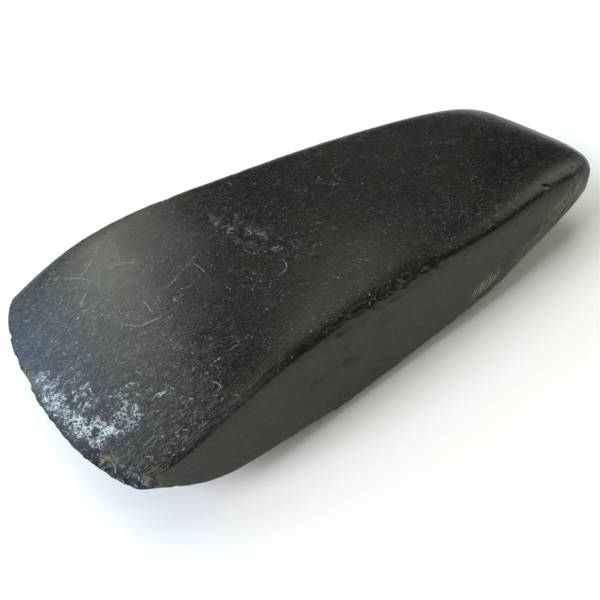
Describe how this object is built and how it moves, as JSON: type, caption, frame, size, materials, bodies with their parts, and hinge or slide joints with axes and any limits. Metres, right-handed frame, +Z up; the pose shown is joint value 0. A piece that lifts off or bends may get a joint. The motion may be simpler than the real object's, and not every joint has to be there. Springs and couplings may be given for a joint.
{
  "type": "polished stone axe head",
  "caption": "Ground and polished stone axe head that tapers from a broad curved cutting edge to a thick blunt butt; felled and worked wood when set in a haft.",
  "frame": {"origin": "on the ground, below the middle of the stone's bounding box, with the stone lying on its underside", "axes": "+X from the cutting edge to the butt, +Z up, -Y towards the side with the chipped arris"},
  "size_m": [0.2202, 0.095, 0.0399],
  "materials": {
    "polished_stone": "dark green-black fine-grained stone, ground and polished, satin, with fine scratches, pits and pale crust near the cutting edge"
  },
  "bodies": {
    "root": {"axe_head": "polished_stone"}
  },
  "joints": []
}
